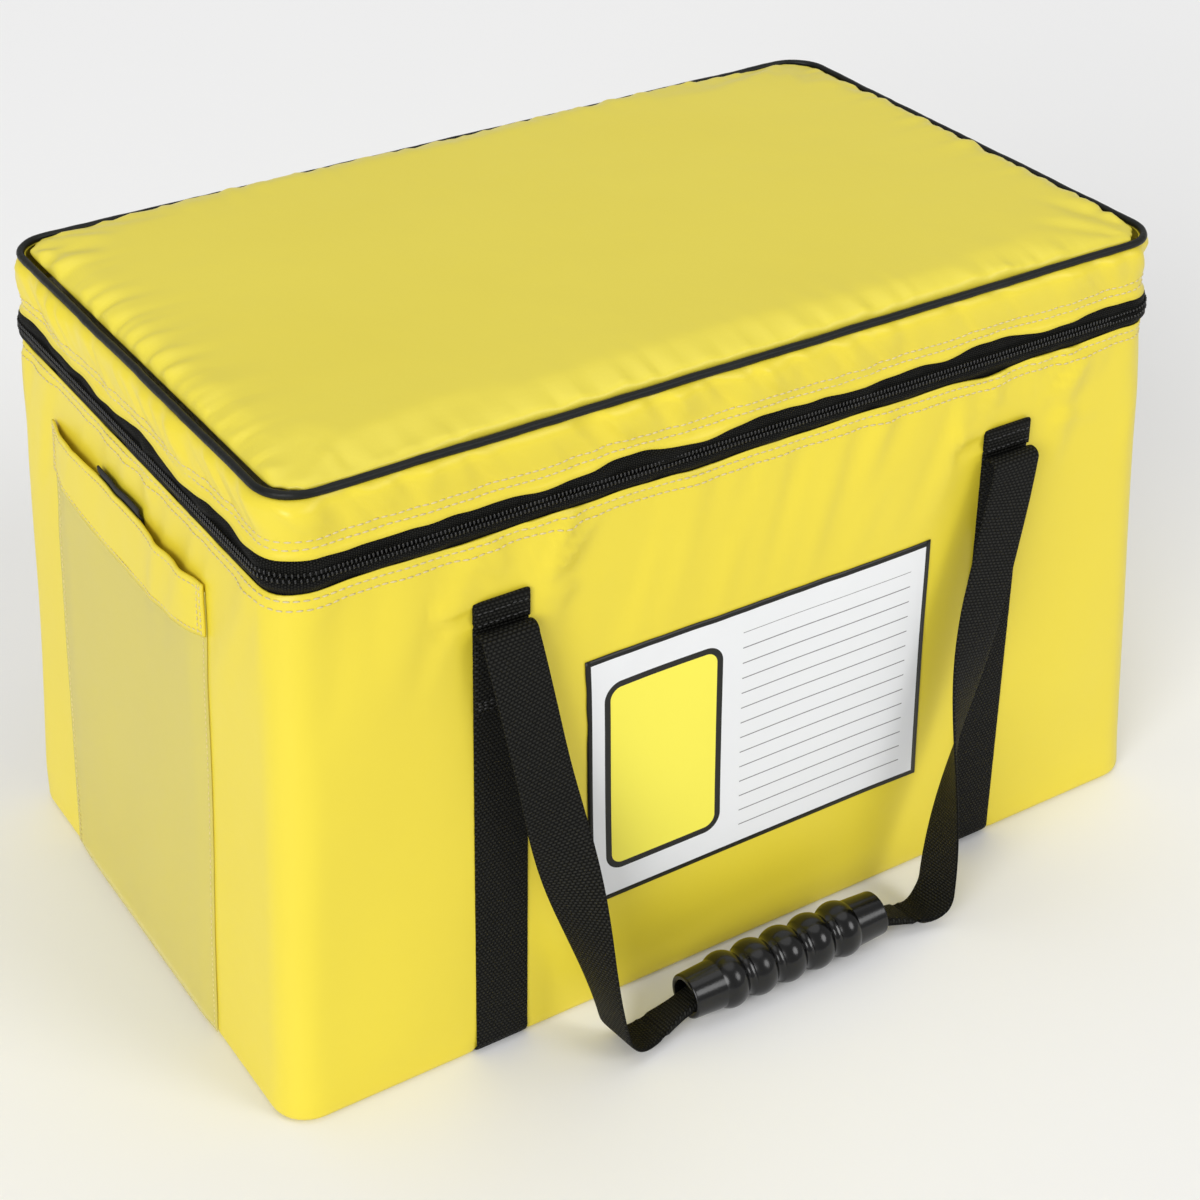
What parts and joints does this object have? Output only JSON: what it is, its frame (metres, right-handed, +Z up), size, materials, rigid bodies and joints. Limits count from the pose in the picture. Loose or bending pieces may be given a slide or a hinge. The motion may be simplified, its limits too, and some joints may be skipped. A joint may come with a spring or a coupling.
{
  "type": "cytotoxic drug transport bag",
  "caption": "Rectangular foam-walled yellow transport bag with a zipped padded lid, webbing straps, ribbed grips, a blank label and a clear document pocket.",
  "frame": {"origin": "centre of the base's underside", "axes": "+X along the long front to the viewer's right, +Y from the front to the back, +Z up"},
  "size_m": [0.5568, 0.4348, 0.3543],
  "materials": {
    "yellow_fabric": "coated fabric, satin",
    "black_webbing": "woven polyester webbing, matt",
    "zip_tape": "woven zip tape, matt",
    "zip_coil": "nylon coil, satin",
    "piping": "coated piping, satin",
    "foam": "closed-cell foam, matt",
    "board": "plastic board, matt",
    "liner": "white coated liner, satin",
    "label": "white film, satin",
    "clear_film": "frosted clear vinyl film",
    "closure": "hook and loop tape, matt",
    "grip": "moulded, satin gloss",
    "slider": "black lacquered die casting"
  },
  "bodies": {
    "bag_body": {"outer_shell": "yellow_fabric", "base_panel": "yellow_fabric", "base_foam": "foam", "base_board": "board", "foam_front": "foam", "foam_back": "foam", "foam_left": "foam", "foam_right": "foam", "inner_liner": "liner", "body_zip_tape": "zip_tape", "body_zip_coil": "zip_coil", "hinge_strip": "yellow_fabric", "strap_left": "black_webbing", "strap_right": "black_webbing", "front_left_sewn_end": "black_webbing", "front_right_sewn_end": "black_webbing", "back_left_sewn_end": "black_webbing", "back_right_sewn_end": "black_webbing", "label_panel": "label", "pocket_window": "clear_film", "pocket_hem": "yellow_fabric", "pocket_loop_tape": "closure", "pocket_hook_tape": "closure"},
    "lid": {"lid_band": "yellow_fabric", "lid_piping": "piping", "lid_panel": "yellow_fabric", "lid_foam": "foam", "lid_liner": "liner", "lid_zip_tape": "zip_tape", "lid_zip_coil": "zip_coil", "lid_hinge_strip": "yellow_fabric"},
    "slider": {"zip_slider": "slider"},
    "pull": {"zip_pull": "slider"},
    "front_handle": {"front_handle_web": "black_webbing", "front_grip": "grip"},
    "back_handle": {"back_handle_web": "black_webbing", "back_grip": "grip"}
  },
  "joints": [
    {"name": "lid_hinge", "type": "hinge", "parent": "bag_body", "child": "lid", "pos_m": [0, 0.15603, 0.307], "axis": [-1, 0, 0], "range_deg": [0, 150]},
    {"name": "slider_run", "type": "slide", "parent": "bag_body", "child": "slider", "axis": [0, -1, 0], "range_m": [0, 0.24]},
    {"name": "pull_swing", "type": "hinge", "parent": "slider", "child": "pull", "pos_m": [0.26105, 0.12703, 0.30745], "axis": [0, -1, 0], "range_deg": [0, 175]},
    {"name": "front_handle_swing", "type": "hinge", "parent": "bag_body", "child": "front_handle", "pos_m": [0, -0.16437, 0.246], "axis": [-1, 0, 0], "range_deg": [-4, 172]},
    {"name": "back_handle_swing", "type": "hinge", "parent": "bag_body", "child": "back_handle", "pos_m": [0, 0.16437, 0.246], "axis": [-1, 0, 0], "range_deg": [-172, 4]}
  ]
}
